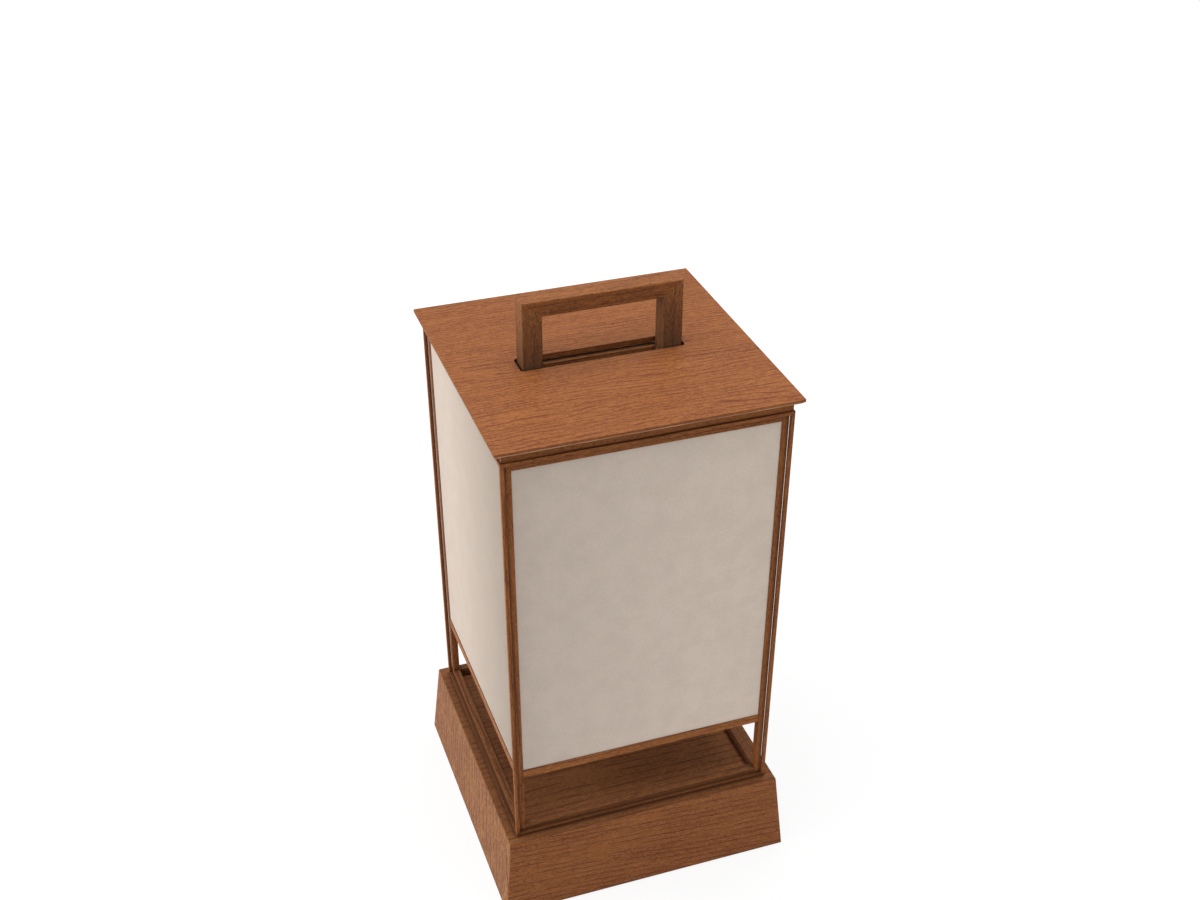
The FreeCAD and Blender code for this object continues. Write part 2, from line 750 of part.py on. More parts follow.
def make_wiring():
    """Three leads: inlet to switch, switch to lampholder, and inlet to lampholder."""
    inlet_back = inlet_body_depth + tab_length
    switch_back = switch_body_depth + tab_length
    half = tab_spacing / 2
    live = (Vector(half, -inlet_back, 0), -inlet_offset)
    neutral = (Vector(-half, -inlet_back, 0), -inlet_offset)
    fed = (Vector(0, -switch_back, -half), switch_offset)
    switched = (Vector(0, -switch_back, half), switch_offset)
    away = Vector(0, -lead_first_run, 0)
    web_z = holder_levels()[1]
    level = top_board_bottom_z - lead_level_drop
    routes = {
        "live": [on_back(*live), on_back(live[0] + away, live[1]),
                 on_back(fed[0] + away, fed[1]), on_back(*fed)],
    }
    for name, (tab, x), side in (("switched", switched, 1), ("neutral", neutral, -1)):
        near = on_back(tab + away, x)
        rise = side * lead_spacing / 2
        routes[name] = [on_back(tab, x), near, Vector(rise, 0, level), Vector(rise, 0, web_z)]
    return Part.makeCompound([lead(name, points) for name, points in routes.items()])


def make_part():
    """Every piece of the lamp, by name."""
    pieces = {}
    pieces.update(make_plinth())
    pieces.update(make_underside())
    pieces.update(make_cage())
    pieces.update(make_shade())
    pieces.update(make_top_frame())
    pieces.update(make_lid())
    pieces.update(make_lampholder())
    pieces.update(make_bulb())
    pieces["mains_inlet"] = make_inlet()
    pieces.update(make_switch())
    pieces["internal_leads"] = make_wiring()
    return pieces


os.makedirs("parts", exist_ok=True)
for name, shape in make_part().items():
    shape.exportStep(os.path.join("parts", name + ".step"))
    box = shape.BoundBox
    print(name, "solids", len(shape.Solids), "valid", shape.isValid(), "volume", round(shape.Volume, 1),
          "z", round(box.ZMin, 2), round(box.ZMax, 2))
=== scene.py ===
# %% [markdown]
# Andon floor lamp. The frame file holds the lamp's solids, one object for each real piece, in
# metres with the ground at zero. This lesson dresses them: it sets the camera and the studio,
# makes the wood, the paper and the small fittings' finishes, and adds the fine pieces that the
# solids leave plain.

# %% Load the frame
import bpy
import math
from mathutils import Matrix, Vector


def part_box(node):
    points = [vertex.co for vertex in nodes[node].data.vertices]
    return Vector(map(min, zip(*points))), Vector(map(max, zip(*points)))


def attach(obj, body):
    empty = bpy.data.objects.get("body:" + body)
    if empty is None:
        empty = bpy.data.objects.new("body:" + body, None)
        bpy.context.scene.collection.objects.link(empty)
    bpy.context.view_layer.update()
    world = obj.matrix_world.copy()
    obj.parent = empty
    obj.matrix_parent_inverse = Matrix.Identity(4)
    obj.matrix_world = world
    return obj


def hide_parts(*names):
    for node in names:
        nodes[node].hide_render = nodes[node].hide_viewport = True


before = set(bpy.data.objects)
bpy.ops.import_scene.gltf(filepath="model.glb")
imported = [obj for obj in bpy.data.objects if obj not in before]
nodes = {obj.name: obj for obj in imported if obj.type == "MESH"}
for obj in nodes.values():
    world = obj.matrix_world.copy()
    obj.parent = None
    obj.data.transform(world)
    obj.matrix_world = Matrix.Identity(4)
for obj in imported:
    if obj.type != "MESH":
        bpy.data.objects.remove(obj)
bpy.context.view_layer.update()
mm = 0.001
print("pieces in the frame:", len(nodes))

# %% [markdown]
# The camera comes first. The photograph was taken from above and a little to the left, and its
# optical centre lies below the picture's middle, which a lens shift gives. A camera could be dragged
# into place, but placing it by two angles and its distance from a point on the lamp's axis keeps the
# numbers easy to adjust.

# %% Camera at the photograph's view
picture_width = 1200
focal_pixels = 1513.1
optical_centre_drop = 112.4
sensor_width = 36
camera_azimuth = math.radians(-19.145)
camera_elevation = math.radians(35.868)
camera_distance = 1.6194
camera_target = Vector((0, 0, 0.3226))


def direction(azimuth, elevation):
    """The unit vector from the andon towards a camera or a studio light at these angles."""
    level = math.cos(elevation)
    return Vector((math.sin(azimuth) * level, -math.cos(azimuth) * level, math.sin(elevation)))


lens = bpy.data.cameras.new("photo_view")
lens.sensor_width = sensor_width
lens.lens = focal_pixels / picture_width * sensor_width
lens.shift_y = optical_centre_drop / picture_width
camera = bpy.data.objects.new("photo_view", lens)
away = direction(camera_azimuth, camera_elevation)
camera.location = camera_target + away * camera_distance
camera.rotation_euler = (-away).to_track_quat("-Z", "Y").to_euler()
bpy.context.collection.objects.link(camera)
bpy.context.scene.camera = camera
bpy.context.scene.view_settings.view_transform = "Standard"
print("camera at", [round(value, 3) for value in camera.location], "lens", round(lens.lens, 2), "mm")

# %% [markdown]
# Every material is a small tree of nodes. The trees could be written out node by node and link by
# link, but then the idea of a finish drowns in the wiring. So one helper adds a node and fills its
# sockets with values or links, and a few short ones name what the nodes do: sums, soft steps,
# blends and noise.

# %% Helpers for node trees
# The Mix node has one set of sockets for each kind of value. These are the places of its colours.
mix_share = 0
mix_first = 6
mix_second = 7
mix_result = 2


def add(tree, kind, sockets=None, **settings):
    """A new node with its settings; each socket gets a value, or a link from another socket."""
    node = tree.nodes.new(kind)
    for name, value in settings.items():
        setattr(node, name, value)
    for name, value in (sockets or {}).items():
        if isinstance(value, bpy.types.NodeSocket):
            tree.links.new(value, node.inputs[name])
        else:
            node.inputs[name].default_value = value
    return node


def maths(tree, operation, *values, clamp=False):
    """The result of a Math node."""
    sockets = dict(enumerate(values))
    return add(tree, "ShaderNodeMath", sockets, operation=operation, use_clamp=clamp).outputs[0]


def sum_of(tree, first, first_share, second, second_share):
    """Two values added, each times its share."""
    return maths(tree, "MULTIPLY_ADD", first, first_share, maths(tree, "MULTIPLY", second, second_share))


def vector_maths(tree, operation, first, second):
    """The vector that a Vector Math node makes of two."""
    return add(tree, "ShaderNodeVectorMath", {0: first, 1: second}, operation=operation).outputs[0]


def vector_length(tree, vector):
    """The length of a vector."""
    return add(tree, "ShaderNodeVectorMath", {0: vector}, operation="LENGTH").outputs["Value"]


def smooth_step(tree, value, low, high):
    """0 below low, 1 above high and a soft step between."""
    sockets = {"Value": value, "From Min": low, "From Max": high}
    return add(tree, "ShaderNodeMapRange", sockets, interpolation_type="SMOOTHSTEP").outputs[0]


def blend_colours(tree, share, first, second):
    """The first colour turning into the second as the share goes from 0 to 1."""
    sockets = {mix_share: share, mix_first: first, mix_second: second}
    return add(tree, "ShaderNodeMix", sockets, data_type="RGBA").outputs[mix_result]


def stretched_noise(tree, vector, cells, detail, rough=0.5):
    """Noise with so many cells to a metre along each axis, so that they can be long and thin."""
    scaled = vector_maths(tree, "MULTIPLY", vector, cells)
    sockets = {"Vector": scaled, "Scale": 1.0, "Detail": detail, "Roughness": rough}
    return add(tree, "ShaderNodeTexNoise", sockets).outputs[0]


def soft_mask(tree, vector, cells, low, high, detail, rough=0.5):
    """Stretched noise made a mask: 0 where the noise is below low, 1 where it is above high."""
    return smooth_step(tree, stretched_noise(tree, vector, cells, detail, rough), low, high)


print("node helpers ready")

# %% [markdown]
# Colours are easiest to judge as they look on a screen, but a shader adds up light, so its sockets
# hold linear values. The values could be typed in linear form, but then nobody could read them.
# One function turns the readable form into the linear one by the usual screen curve.

# %% Colours as they look on screen
screen_levels = 255
curve_start = 0.04045
slope_below = 12.92
curve_offset = 0.055
curve_power = 2.4


def colour(red, green, blue):
    """A colour given as it looks on screen, 0 to 255, as the linear values that sockets hold."""
    channels = []
    for value in (red, green, blue):
        share = value / screen_levels
        if share <= curve_start:
            channels.append(share / slope_below)
        else:
            channels.append(((share + curve_offset) / (1 + curve_offset)) ** curve_power)
    return (*channels, 1)


print("a middle grey is", round(colour(128, 128, 128)[0], 3), "in linear light")

# %% [markdown]
# An effect that several materials share, such as grain, is built once as a group with named
# sockets, and every material sets its own values on them. A group gives a colour, a roughness and
# a height, and the shader stays in the material. These helpers start a group, fill what it gives,
# and join a group to a material's shader.

# %% Helpers for groups and materials
COLOR = "NodeSocketColor"
FLOAT = "NodeSocketFloat"
VECTOR = "NodeSocketVector"
surface_outputs = [("Color", COLOR), ("Roughness", FLOAT), ("Height", FLOAT)]


def new_group(name, inputs, outputs):
    """A group with its named sockets; gives the group, its input node and its output node."""
    group = bpy.data.node_groups.new(name, "ShaderNodeTree")
    for label, kind, start in inputs:
        group.interface.new_socket(label, in_out="INPUT", socket_type=kind).default_value = start
    for label, kind in outputs:
        group.interface.new_socket(label, in_out="OUTPUT", socket_type=kind)
    return group, group.nodes.new("NodeGroupInput"), group.nodes.new("NodeGroupOutput")


def give(group, end, shade, matt, height):
    """Links a surface group's three results to its output node."""
    group.links.new(shade, end.inputs["Color"])
    group.links.new(matt, end.inputs["Roughness"])
    group.links.new(height, end.inputs["Height"])


def new_material(name):
    """A material; gives it with its tree, its shader and the Object coordinates."""
    material = bpy.data.materials.new(name)
    material.use_nodes = True
    tree = material.node_tree
    place = add(tree, "ShaderNodeTexCoord").outputs["Object"]
    return material, tree, tree.nodes["Principled BSDF"], place


def finish_surface(tree, shader, shade, surface, depth, strength):
    """Gives a shader its colour, and the roughness and the relief of a surface group."""
    sockets = {"Height": surface.outputs["Height"], "Distance": depth, "Strength": strength}
    bump = add(tree, "ShaderNodeBump", sockets)
    tree.links.new(shade, shader.inputs["Base Color"])
    tree.links.new(surface.outputs["Roughness"], shader.inputs["Roughness"])
    tree.links.new(bump.outputs[0], shader.inputs["Normal"])


print("a surface group gives:", ", ".join(label for label, kind in surface_outputs))

# %% [markdown]
# The wood is a fine-grained reddish brown timber with a thin satin finish. A picture of grain could
# be laid on it, but it would stop at every edge. Real grain is a solid pattern: growth layers round
# the tree's centre, long fibres along the trunk and short dark pores. Making it from the same three
# things in object space lets it run round every edge, show end grain where a board is cut across,
# and need no image and no unwrapping.

# %% Shader group: wood grain
def growth_lines(group, place, layer_width):
    """A mask of the dark late growth at the outside of each layer round the tree's centre."""
    to_centre = (0, 0.31, 0.42)
    sway_reach = 14 * mm
    line_start = 0.62
    line_full = 0.92
    line_end = 0.93
    sway = stretched_noise(group, place, (4, 15, 15), detail=3)
    wander = maths(group, "MULTIPLY", maths(group, "SUBTRACT", sway, 0.5), sway_reach)
    from_centre = vector_maths(group, "ADD", place, to_centre)
    radius = vector_length(group, vector_maths(group, "MULTIPLY", from_centre, (0, 1, 1)))
    layer = maths(group, "DIVIDE", maths(group, "ADD", radius, wander), layer_width)
    within = maths(group, "FRACT", layer)
    rise = smooth_step(group, within, line_start, line_full)
    fall = smooth_step(group, within, line_end, 1.0)
    return maths(group, "SUBTRACT", rise, fall, clamp=True)


def wood_colour(group, start, growth, streaks, pores, patches):
    """Pale wood with deeper streaks, then growth lines, then pores in the colour of the lines."""
    patch_share = 0.2
    pale_bias = 0.1
    pore_strength = 0.4
    pore_patchiness = 0.25
    given = start.outputs
    tone = sum_of(group, streaks, given["Streak Strength"], patches, patch_share)
    tone = maths(group, "SUBTRACT", tone, pale_bias, clamp=True)
    streaked = blend_colours(group, tone, given["Pale"], given["Deep"])
    broken = soft_mask(group, given["Vector"], (26, 200, 200), low=0.36, high=0.56, detail=2)
    lines = maths(group, "MULTIPLY", maths(group, "MULTIPLY", growth, broken), given["Line Strength"])
    lined = blend_colours(group, lines, streaked, given["Line"])
    strength = maths(group, "MULTIPLY_ADD", patches, pore_patchiness, pore_strength)
    specks = maths(group, "MULTIPLY", pores, strength)
    return blend_colours(group, specks, lined, given["Line"])


def make_wood_group():
    """Grain that runs along the vector's X: growth lines, streaks, pores and slow changes of tone."""
    thick_share = 0.4
    thin_share = 0.6
    matt_level = 0.5
    matt_of_streaks = 0.14
    streak_depth = 0.3
    pore_depth = 0.4
    line_depth = 0.3
    inputs = [
        ("Vector", VECTOR, (0, 0, 0)),
        ("Pale", COLOR, colour(160, 97, 46)),
        ("Deep", COLOR, colour(122, 68, 28)),
        ("Line", COLOR, colour(100, 47, 20)),
        ("Layer Width", FLOAT, 6 * mm),
        ("Line Strength", FLOAT, 0.6),
        ("Streak Strength", FLOAT, 0.8),
    ]
    group, start, end = new_group("wood grain", inputs, surface_outputs)
    place = start.outputs["Vector"]
    growth = growth_lines(group, place, start.outputs["Layer Width"])
    thick = soft_mask(group, place, (16, 520, 520), low=0.34, high=0.66, detail=2, rough=0.6)
    thin = soft_mask(group, place, (110, 950, 950), low=0.36, high=0.64, detail=1)
    pores = soft_mask(group, place, (300, 1100, 1100), low=0.5, high=0.62, detail=1)
    patches = soft_mask(group, place, (9, 60, 60), low=0.3, high=0.7, detail=3)
    streaks = sum_of(group, thick, thick_share, thin, thin_share)
    shade = wood_colour(group, start, growth, streaks, pores, patches)
    matt = maths(group, "MULTIPLY_ADD", streaks, matt_of_streaks, matt_level)
    hollows = sum_of(group, streaks, streak_depth, pores, pore_depth)
    hollows = maths(group, "MULTIPLY_ADD", growth, line_depth, hollows)
    give(group, end, shade, matt, maths(group, "SUBTRACT", 1.0, hollows))
    return group


wood_group = make_wood_group()
print("wood grain group:", len(wood_group.nodes), "nodes")

# %% [markdown]
# Wood and paper get painted shade beside every joint and in every corner, where shade falls.
# The dark could be painted by hand, piece by piece. An Ambient Occlusion node does it for all of
# them: it measures how enclosed a place is by what lies within a short reach, on this piece and its
# neighbours, and the group mixes a dark tone into the colour by that measure. The mix stops short
# of the full dark, so that a deep corner keeps some of its own colour.

# %% Shader group: painted shade in corners
def make_corner_shade_group():
    """A colour with painted shade within a short reach of a corner or a neighbouring piece."""
    darkest_share = 0.85
    sampled_directions = 8
    inputs = [
        ("Color", COLOR, (0.5, 0.5, 0.5, 1)),
        ("Dark", COLOR, colour(60, 34, 20)),
        ("Reach", FLOAT, 6 * mm),
        ("Strength", FLOAT, 0.8),
    ]
    group, start, end = new_group("darker corners", inputs, [("Color", COLOR)])
    reach = {"Distance": start.outputs["Reach"]}
    open_share = add(group, "ShaderNodeAmbientOcclusion", reach, samples=sampled_directions)
    enclosed = maths(group, "SUBTRACT", 1.0, open_share.outputs["AO"], clamp=True)
    share = maths(group, "MULTIPLY", enclosed, start.outputs["Strength"], clamp=True)
    share = maths(group, "MINIMUM", share, darkest_share)
    mixed = blend_colours(group, share, start.outputs["Color"], start.outputs["Dark"])
    group.links.new(mixed, end.inputs["Color"])
    return group


corner_shade_group = make_corner_shade_group()


def paint_corner_shade(tree, shade, dark, reach, strength):
    """The colour socket with painted shade in its corners, for a material's Base Color."""
    sockets = {"Color": shade, "Dark": dark, "Reach": reach, "Strength": strength}
    return add(tree, "ShaderNodeGroup", sockets, node_tree=corner_shade_group).outputs["Color"]


print("corner group:", len(corner_shade_group.nodes), "nodes")

# %% [markdown]
# Two places differ from the rest of their board. The lid's bevel has a painted highlight along
# its rim, but the walls of its slot do not, and the plinth's top board has painted shade outside the
# cage. Separate pieces would put seams where the real boards have none, so both are masks made from
# the place on the lamp: how high it is, and how far out from the axis.

# %% Painted highlight and painted shade
# Colour of the painted highlight on the lid's bevel.
bevel_highlight_tone = colour(214, 172, 140)
# Painted shade on the top board's rim outside the cage: how much of the dark tone is mixed in.
rim_shade_share = 0.35


def beyond(tree, place, half):
    """A mask of what lies further out than a square of this half side round the lamp's axis."""
    parts = add(tree, "ShaderNodeSeparateXYZ", {0: place}).outputs
    across = maths(tree, "ABSOLUTE", parts["X"])
    along = maths(tree, "ABSOLUTE", parts["Y"])
    return maths(tree, "GREATER_THAN", maths(tree, "MAXIMUM", across, along), half)


def paint_rim_shade(tree, place, shade, half, dark):
    """The colour socket with painted shade beyond a square of this half side."""
    share = maths(tree, "MULTIPLY", beyond(tree, place, half), rim_shade_share)
    return blend_colours(tree, share, shade, dark)


def paint_bevel_highlight(tree, place, shade, low, high, half):
    """The colour socket, with a painted highlight between two heights at a rim this far from the axis."""
    sharp_foot = 0.1 * mm
    fade = 0.3 * mm
    rim_width = 6 * mm
    least_highlight = 0.3
    patchy_highlight = 0.35
    height = add(tree, "ShaderNodeSeparateXYZ", {0: place}).outputs["Z"]
    above = smooth_step(tree, height, low + sharp_foot, low + sharp_foot + fade)
    below = smooth_step(tree, height, high + fade, high)
    patchy = soft_mask(tree, place, (30, 30, 30), low=0.35, high=0.6, detail=2)
    band = maths(tree, "MULTIPLY", above, below)
    band = maths(tree, "MULTIPLY", band, beyond(tree, place, half - rim_width))
    # The painted highlight's strength along the rim, patchy.
    wear = maths(tree, "MULTIPLY_ADD", patchy, patchy_highlight, least_highlight)
    return blend_colours(tree, maths(tree, "MULTIPLY", band, wear), shade, bevel_highlight_tone)


print("masks ready for the lid's bevel and the rim of the plinth's top board")

# %% [markdown]
# Each board and stick is cut with its grain along its length, and no two come from the same place
# in the tree. One material for all would show the same figure everywhere, so a function makes a
# wood for a direction of grain, a shift into another part of the pattern, and a tone. A Mapping
# node turns the pattern, and the shader's constants are set on its own sockets.

# %% Wood material
grain_turns = {"x": (0, 0, 0), "y": (0, 0, math.radians(-90)), "z": (0, math.radians(90), 0)}
# The dark tone of the wood's painted shade, in corners and on the top board's rim.
painted_wood_shade = colour(70, 42, 24)
# The greyer tone of the painted shade on the handle and its rail.
handle_shade_tone = colour(60, 51, 44)
grain_depth = 0.25 * mm
grain_relief = 0.35
satin_specular = 0.13


def make_wood(name, grain, shift, tones, tilt=0, layer_width=6.5 * mm, lines=0.75, streaks=0.85,
              dark=painted_wood_shade, reach=5 * mm, grime=1.5, bevel=None, rim=None):
    """A satin wood whose grain runs along one of the lamp's axes, or a few degrees off it."""
    material, tree, shader, place = new_material(name)
    turn_x, turn_y, turn_z = grain_turns[grain]
    rotation = (turn_x, turn_y + math.radians(tilt), turn_z)
    mapping = add(tree, "ShaderNodeMapping", {"Vector": place, "Rotation": rotation, "Location": shift})
    pale, deep, line = tones
    sockets = {"Vector": mapping.outputs[0], "Pale": pale, "Deep": deep, "Line": line}
    sockets.update({"Layer Width": layer_width, "Line Strength": lines, "Streak Strength": streaks})
    grained = add(tree, "ShaderNodeGroup", sockets, node_tree=wood_group)
    # Painted shade: the grain's colour turns darker near corners and neighbouring pieces.
    shade = paint_corner_shade(tree, grained.outputs["Color"], dark, reach, grime)
    # Painted shade on a rim, where one is given.
    if rim:
        shade = paint_rim_shade(tree, place, shade, rim, dark)
    # A painted highlight on a bevel, where one is given.
    if bevel:
        shade = paint_bevel_highlight(tree, place, shade, *bevel)
    finish_surface(tree, shader, shade, grained, grain_depth, grain_relief)
    shader.inputs["Specular IOR Level"].default_value = satin_specular
    return material


print("wood can run along", ", ".join(grain_turns))

# %% [markdown]
# The boards are one kind of timber, but each was cut from another log. The plinth's side is paler
# and yellower than its front, which is painted light, and the low rails are deeper than the posts,
# which is painted shade. So each family of pieces has three tones of its own: the pale ground, the
# deep streaks and the dark line at the edge of a growth layer.

# %% Tones of the wood families
lid_brown = (colour(166, 104, 56), colour(128, 76, 43), colour(104, 50, 33))
red_brown = (colour(168, 105, 58), colour(133, 80, 45), colour(100, 48, 31))
# The plinth's side is painted paler and yellower than its front: painted light.
lit_side_brown = (colour(180, 120, 68), colour(132, 82, 44), colour(98, 52, 32))
stick_brown = (colour(166, 102, 52), colour(130, 77, 42), colour(94, 48, 26))
# The low rails are painted deeper than the posts: painted shade.
shaded_low_brown = (colour(150, 97, 56), colour(116, 72, 44), colour(86, 46, 31))
middle_brown = (colour(178, 112, 58), colour(140, 84, 46), colour(100, 52, 29))
grip_brown = (colour(163, 102, 56), colour(125, 78, 45), colour(90, 48, 31))
leg_brown = (colour(168, 110, 63), colour(129, 85, 51), colour(93, 53, 35))
board_brown = (colour(172, 114, 68), colour(138, 88, 54), colour(106, 58, 38))
inner_brown = (colour(176, 128, 80), colour(150, 104, 62), colour(120, 80, 46))
print("tones of the lid, pale to dark:", [round(tone[0], 3) for tone in lid_brown])

# %% [markdown]
# Now the woods themselves. The boards get theirs one by one, because their layers, slope of grain
# and painted light and shade differ: the lid's layers are narrow and show as many fine lines, and
# the handle has painted shade that deepens towards the lid. The sticks repeat, so loops make their
# woods, posts and rails along all three axes and the lower rails along the two level ones.

# %% Woods
woods = {}


def wood_for(family, grain, shift, tones, **values):
    """Makes one wood and keeps it under its family and grain direction."""
    woods[family, grain] = make_wood(f"{family}_{grain}", grain, shift, tones, **values)


wood_for("plinth", "x", (0.3, 0.05, 0.11), red_brown, tilt=-4)
wood_for("plinth", "z", (0.7, 0.21, 0.37), lit_side_brown, lines=0.9, streaks=1.2, layer_width=5.5 * mm)
cage_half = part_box("cage_post_front_right")[1].x
# The top board's rim outside the cage gets painted shade.
wood_for("top_board", "x", (0.1, 0.43, 0.17), board_brown, rim=cage_half)
# The handle's rail gets the handle's greyer painted shade in its corners.
wood_for("rail", "x", (0.5, 0.33, 0.07), board_brown, dark=handle_shade_tone)
# The lid's bevel gets a painted highlight along its rim.
lid_low, lid_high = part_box("lid_board")
lid_lip = 2.7 * mm
lid_highlight_band = (lid_low.z, lid_high.z - lid_lip, lid_high.x)
wood_for("lid", "x", (0.9, 0.13, 0.29), lid_brown, layer_width=1.6 * mm, lines=0.85, bevel=lid_highlight_band)
# Painted shade on the handle, deepening within a long reach of the lid.
handle_shading = {"lines": 0.5, "dark": handle_shade_tone, "reach": 80 * mm, "grime": 1.3}
wood_for("handle", "x", (0, 0.37, 0.19), grip_brown, **handle_shading)
wood_for("handle", "z", (0.82, 0.37, 0.19), leg_brown, **handle_shading)
for number, grain in enumerate("xyz"):
    wood_for("cage", grain, (0.21 * number, 0.07, 0.31), stick_brown)
    wood_for("shade", grain, (0.33 * number, 0.27, 0.03), stick_brown)
# The low rails' painted shade in corners reaches further.
for number, grain in enumerate("xy"):
    wood_for("low_rail", grain, (0.27 * number, 0.17, 0.23), shaded_low_brown, reach=9 * mm)
    wood_for("middle", grain, (0.37 * number, 0.47, 0.05), middle_brown)
wood_for("inner", "y", (0.17, 0.57, 0.13), inner_brown)
wood_for("inner", "z", (0.34, 0.57, 0.13), inner_brown)
print("woods:", sorted(f"{family}_{grain}" for family, grain in woods))

# %% [markdown]
# A joiner marks every stick with its place, and the nodes' names say the same: what a piece is and
# on which side it stands. Listing a material for each of some thirty sticks would hide the rule, so
# the name decides: posts take wood along the height, and rails take wood along their own side. The
# plinth's boards at the left and right are the exception, because their grain stands upright.

# %% Which node gets which wood
along_x = ("front", "back")


def side_grain(node):
    """Grain direction of a rail on one side of the lamp: along that side."""
    return "x" if node.rsplit("_", 1)[1] in along_x else "y"


def dress(node, material):
    """Puts a material in every slot of a node's object."""
    for slot in nodes[node].material_slots:
        slot.material = material


for node in nodes:
    if node.startswith("plinth_board"):
        dress(node, woods["plinth", "x" if side_grain(node) == "x" else "z"])
    elif node.startswith("cage_post"):
        dress(node, woods["cage", "z"])
    elif node.startswith(("cage_bottom_rail", "shade_bottom_rail")):
        dress(node, woods["low_rail", side_grain(node)])
    elif node.startswith(("cage_", "top_frame_")):
        dress(node, woods["cage", side_grain(node)])
    elif node.startswith("shade_middle_rail"):
        dress(node, woods["middle", side_grain(node)])
    elif node.startswith("shade_post"):
        dress(node, woods["shade", "z"])
    elif node.startswith("shade_"):
        dress(node, woods["shade", side_grain(node)])
    elif node.startswith("handle_leg"):
        dress(node, woods["handle", "z"])
dress("plinth_top_board", woods["top_board", "x"])
dress("handle_rail", woods["rail", "x"])
dress("handle_grip", woods["handle", "x"])
dress("lid_board", woods["lid", "x"])
dress("lid_battens", woods["inner", "y"])
dress("corner_blocks", woods["inner", "z"])
print("wooden nodes dressed")

# %% [markdown]
# Washi is handmade paper: a felt of long plant fibres, thicker and thinner in soft clouds. Fibres
# could be drawn as curves, but they would have to be thousands. A thin band round one level of a
# slow noise wanders just as a fibre does, and a second noise breaks it into short lengths.

# %% Shader group: paper
# Long and short fibres: the noise's cells to a metre, and half the width of the band in the noise.
fibre_kinds = ((34, 0.006), (57, 0.008))


def fibre_mask(group, place):
    """A mask of a few long fibres, each the thin band round one level of a slow noise."""
    threads = []
    for cells, half_width in fibre_kinds:
        field = stretched_noise(group, place, (cells, cells, cells), detail=1.2)
        nearness = maths(group, "ABSOLUTE", maths(group, "SUBTRACT", field, 0.5))
        threads.append(maths(group, "SUBTRACT", 1.0, smooth_step(group, nearness, 0.0, half_width)))
    broken = soft_mask(group, place, (60, 60, 60), low=0.48, high=0.62, detail=1)
    return maths(group, "MULTIPLY", maths(group, "MAXIMUM", *threads), broken)


def make_paper_group():
    """Soft clouds, a fine felt and a few long fibres over the sheet's own tone."""
    thin_paper = colour(150, 134, 122)
    cloud_share = 0.45
    felt_share = 0.55
    fibre_lightness = 0.05
    matt_level = 0.72
    matt_of_felt = 0.15
    felt_height = 0.5
    fibre_height = 0.4
    inputs = [
        ("Vector", VECTOR, (0, 0, 0)),
        ("Sheet", COLOR, colour(226, 212, 197)),
        ("Cloud Strength", FLOAT, 0.22),
    ]
    group, start, end = new_group("washi paper", inputs, surface_outputs)
    place = start.outputs["Vector"]
    clouds = soft_mask(group, place, (45, 45, 45), low=0.3, high=0.7, detail=5, rough=0.65)
    felt = soft_mask(group, place, (700, 700, 460), low=0.3, high=0.7, detail=3, rough=0.65)
    fibres = fibre_mask(group, place)
    thin = sum_of(group, clouds, cloud_share, felt, felt_share)
    share = maths(group, "MULTIPLY", thin, start.outputs["Cloud Strength"])
    share = maths(group, "SUBTRACT", share, maths(group, "MULTIPLY", fibres, fibre_lightness), clamp=True)
    shade = blend_colours(group, share, start.outputs["Sheet"], thin_paper)
    matt = maths(group, "MULTIPLY_ADD", felt, matt_of_felt, matt_level)
    give(group, end, shade, matt, sum_of(group, felt, felt_height, fibres, fibre_height))
    return group


paper_group = make_paper_group()
print("paper group:", len(paper_group.nodes), "nodes")

# %% [markdown]
# Paper lets light through, so it scatters below its surface, red a little further than blue. Each
# panel also has painted light: a gradient along it, paler at one edge than at the other, which a
# spot of noise couldn't give, because it has a direction. The left panel's painted light is dimmer
# than the other three's.

# %% Paper material
# Painted shade on the paper near its frame and in its corners.
paper_shade_tone = colour(120, 106, 94)
paper_shade_reach = 11 * mm
paper_grime = 0.5
# Where each panel's painted light starts and ends along the lamp.
light_gradient_start = -0.128
light_gradient_end = 0.076
felt_depth = 0.2 * mm
felt_relief = 0.3
paper_specular = 0.2
scatter_depth = 1 * mm
scatter_colours = (1.0, 0.9, 0.8)


def make_paper(name, shift, axis, dim, pale):
    """Washi with painted light: its tone goes from dim to pale along one axis of the lamp."""
    material, tree, shader, place = new_material(name)
    moved = add(tree, "ShaderNodeMapping", {"Vector": place, "Location": shift}).outputs[0]
    along = add(tree, "ShaderNodeSeparateXYZ", {0: place}).outputs[axis]
    limits = {"Value": along, "From Min": light_gradient_start, "From Max": light_gradient_end}
    lit_share = add(tree, "ShaderNodeMapRange", limits, interpolation_type="LINEAR").outputs[0]
    sockets = {"Vector": moved, "Sheet": blend_colours(tree, lit_share, dim, pale)}
    felted = add(tree, "ShaderNodeGroup", sockets, node_tree=paper_group)
    shade = paint_corner_shade(tree, felted.outputs["Color"], paper_shade_tone, paper_shade_reach, paper_grime)
    finish_surface(tree, shader, shade, felted, felt_depth, felt_relief)
    shader.inputs["Specular IOR Level"].default_value = paper_specular
    shader.inputs["Subsurface Weight"].default_value = 1.0
    shader.inputs["Subsurface Scale"].default_value = scatter_depth
    shader.inputs["Subsurface Radius"].default_value = scatter_colours
    return material


# Each panel's painted light: its dim end and its pale end.
warm_sheet = (colour(227, 212, 199), colour(242, 227, 212))
left_painted_light_sheet = (colour(165, 151, 137), colour(212, 195, 180))
papers = {
    "front": ("X", warm_sheet),
    "right": ("Y", warm_sheet),
    "back": ("X", warm_sheet),
    "left": ("Y", left_painted_light_sheet),
}
for number, (side, (axis, tones)) in enumerate(papers.items()):
    shift = (0.13 * number, 0.31 * number, 0)
    dress("paper_panel_" + side, make_paper("paper_" + side, shift, axis, *tones))
print("paper on", len(papers), "panels")

